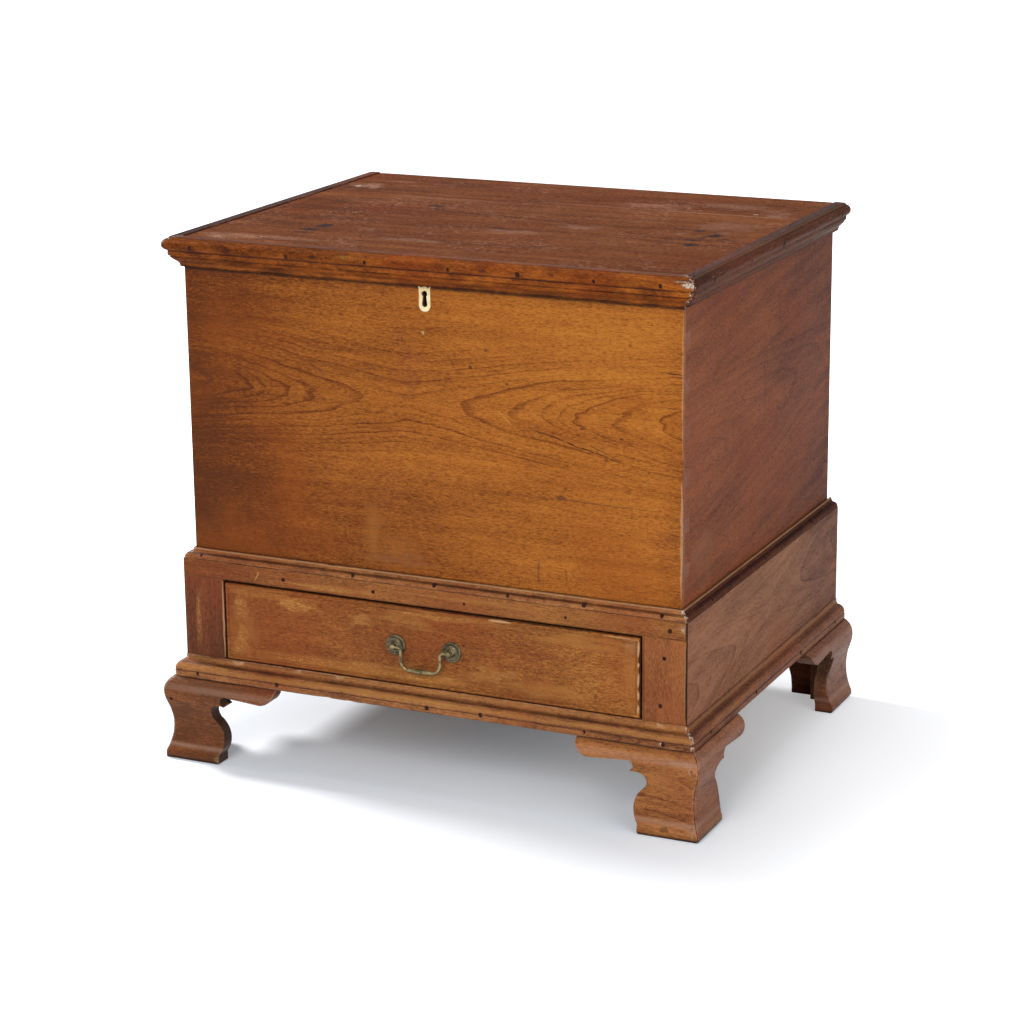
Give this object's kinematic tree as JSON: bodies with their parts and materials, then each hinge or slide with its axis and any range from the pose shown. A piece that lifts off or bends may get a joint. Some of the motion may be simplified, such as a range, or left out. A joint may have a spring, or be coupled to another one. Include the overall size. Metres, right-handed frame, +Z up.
{
  "type": "sugar chest",
  "caption": "Lidded wooden sugar chest with divided bins, standing on a moulded frame with a drawer and ogee bracket feet.",
  "frame": {"origin": "on the floor, at the middle of the footprint", "axes": "+X to the right along the front, +Y from the front to the back, +Z up"},
  "size_m": [0.751, 0.583, 0.6902],
  "materials": {
    "walnut_gold": "old waxed walnut, golden brown and worn",
    "walnut_red": "old waxed walnut, reddish brown",
    "walnut_dark": "old waxed walnut, dark brown",
    "poplar": "bare secondary wood, dry and toned by age",
    "brass": "aged brass, dull and olive in the hollows",
    "iron": "old wrought iron, dark",
    "bone": "old bone inlay, cream"
  },
  "bodies": {
    "chest": {"case_front": "walnut_gold", "case_back": "walnut_dark", "case_side_left": "walnut_red", "case_side_right": "walnut_red", "case_bottom": "poplar", "case_divider": "poplar", "keyhole_escutcheon": "bone", "lock_case": "iron", "hinge_case_leaf_left": "brass", "hinge_case_leaf_right": "brass", "hinge_pins": "iron", "waist_moulding_front": "walnut_gold", "waist_moulding_left": "walnut_red", "waist_moulding_right": "walnut_red", "frame_top_rail": "walnut_gold", "frame_bottom_rail": "walnut_dark", "frame_stile_left": "walnut_red", "frame_stile_right": "walnut_red", "frame_side_left": "walnut_red", "frame_side_right": "walnut_red", "frame_back": "poplar", "drawer_runner_left": "poplar", "drawer_runner_right": "poplar", "drawer_guide_left": "poplar", "drawer_guide_right": "poplar", "drawer_stops": "poplar", "base_moulding_front": "walnut_gold", "base_moulding_left": "walnut_red", "base_moulding_right": "walnut_red", "foot_front_left_face": "walnut_gold", "foot_front_left_side": "walnut_red", "foot_front_right_face": "walnut_gold", "foot_front_right_side": "walnut_red", "foot_rear_left_side": "walnut_red", "foot_rear_left_bracket": "walnut_dark", "foot_rear_right_side": "walnut_red", "foot_rear_right_bracket": "walnut_dark", "foot_glue_blocks": "poplar"},
    "lid": {"lid_board_front": "walnut_red", "lid_board_back": "walnut_red", "lid_moulding_front": "walnut_gold", "lid_moulding_left": "walnut_dark", "lid_moulding_right": "walnut_dark", "hinge_lid_leaf_left": "brass", "hinge_lid_leaf_right": "brass", "lock_catch": "brass"},
    "drawer": {"drawer_front": "walnut_gold", "drawer_side_left": "poplar", "drawer_side_right": "poplar", "drawer_back": "poplar", "drawer_bottom": "poplar", "handle_rosettes": "brass", "handle_posts": "brass", "handle_nuts": "brass"},
    "bail": {"handle_bail": "brass"},
    "bolt": {"lock_bolt": "brass"}
  },
  "joints": [
    {"name": "lid_hinge", "type": "hinge", "parent": "chest", "child": "lid", "pos_m": [0, 0.2866, 0.669], "axis": [-1, 0, 0], "range_deg": [0, 100]},
    {"name": "drawer_slide", "type": "slide", "parent": "chest", "child": "drawer", "axis": [0, -1, 0], "range_m": [0, 0.4]},
    {"name": "bail_swing", "type": "hinge", "parent": "drawer", "child": "bail", "pos_m": [-0.00405, -0.2761, 0.192], "axis": [-1, 0, 0], "range_deg": [-12, 165]},
    {"name": "bolt_slide", "type": "slide", "parent": "chest", "child": "bolt", "axis": [1, 0, 0], "range_m": [0, 0.008]}
  ]
}
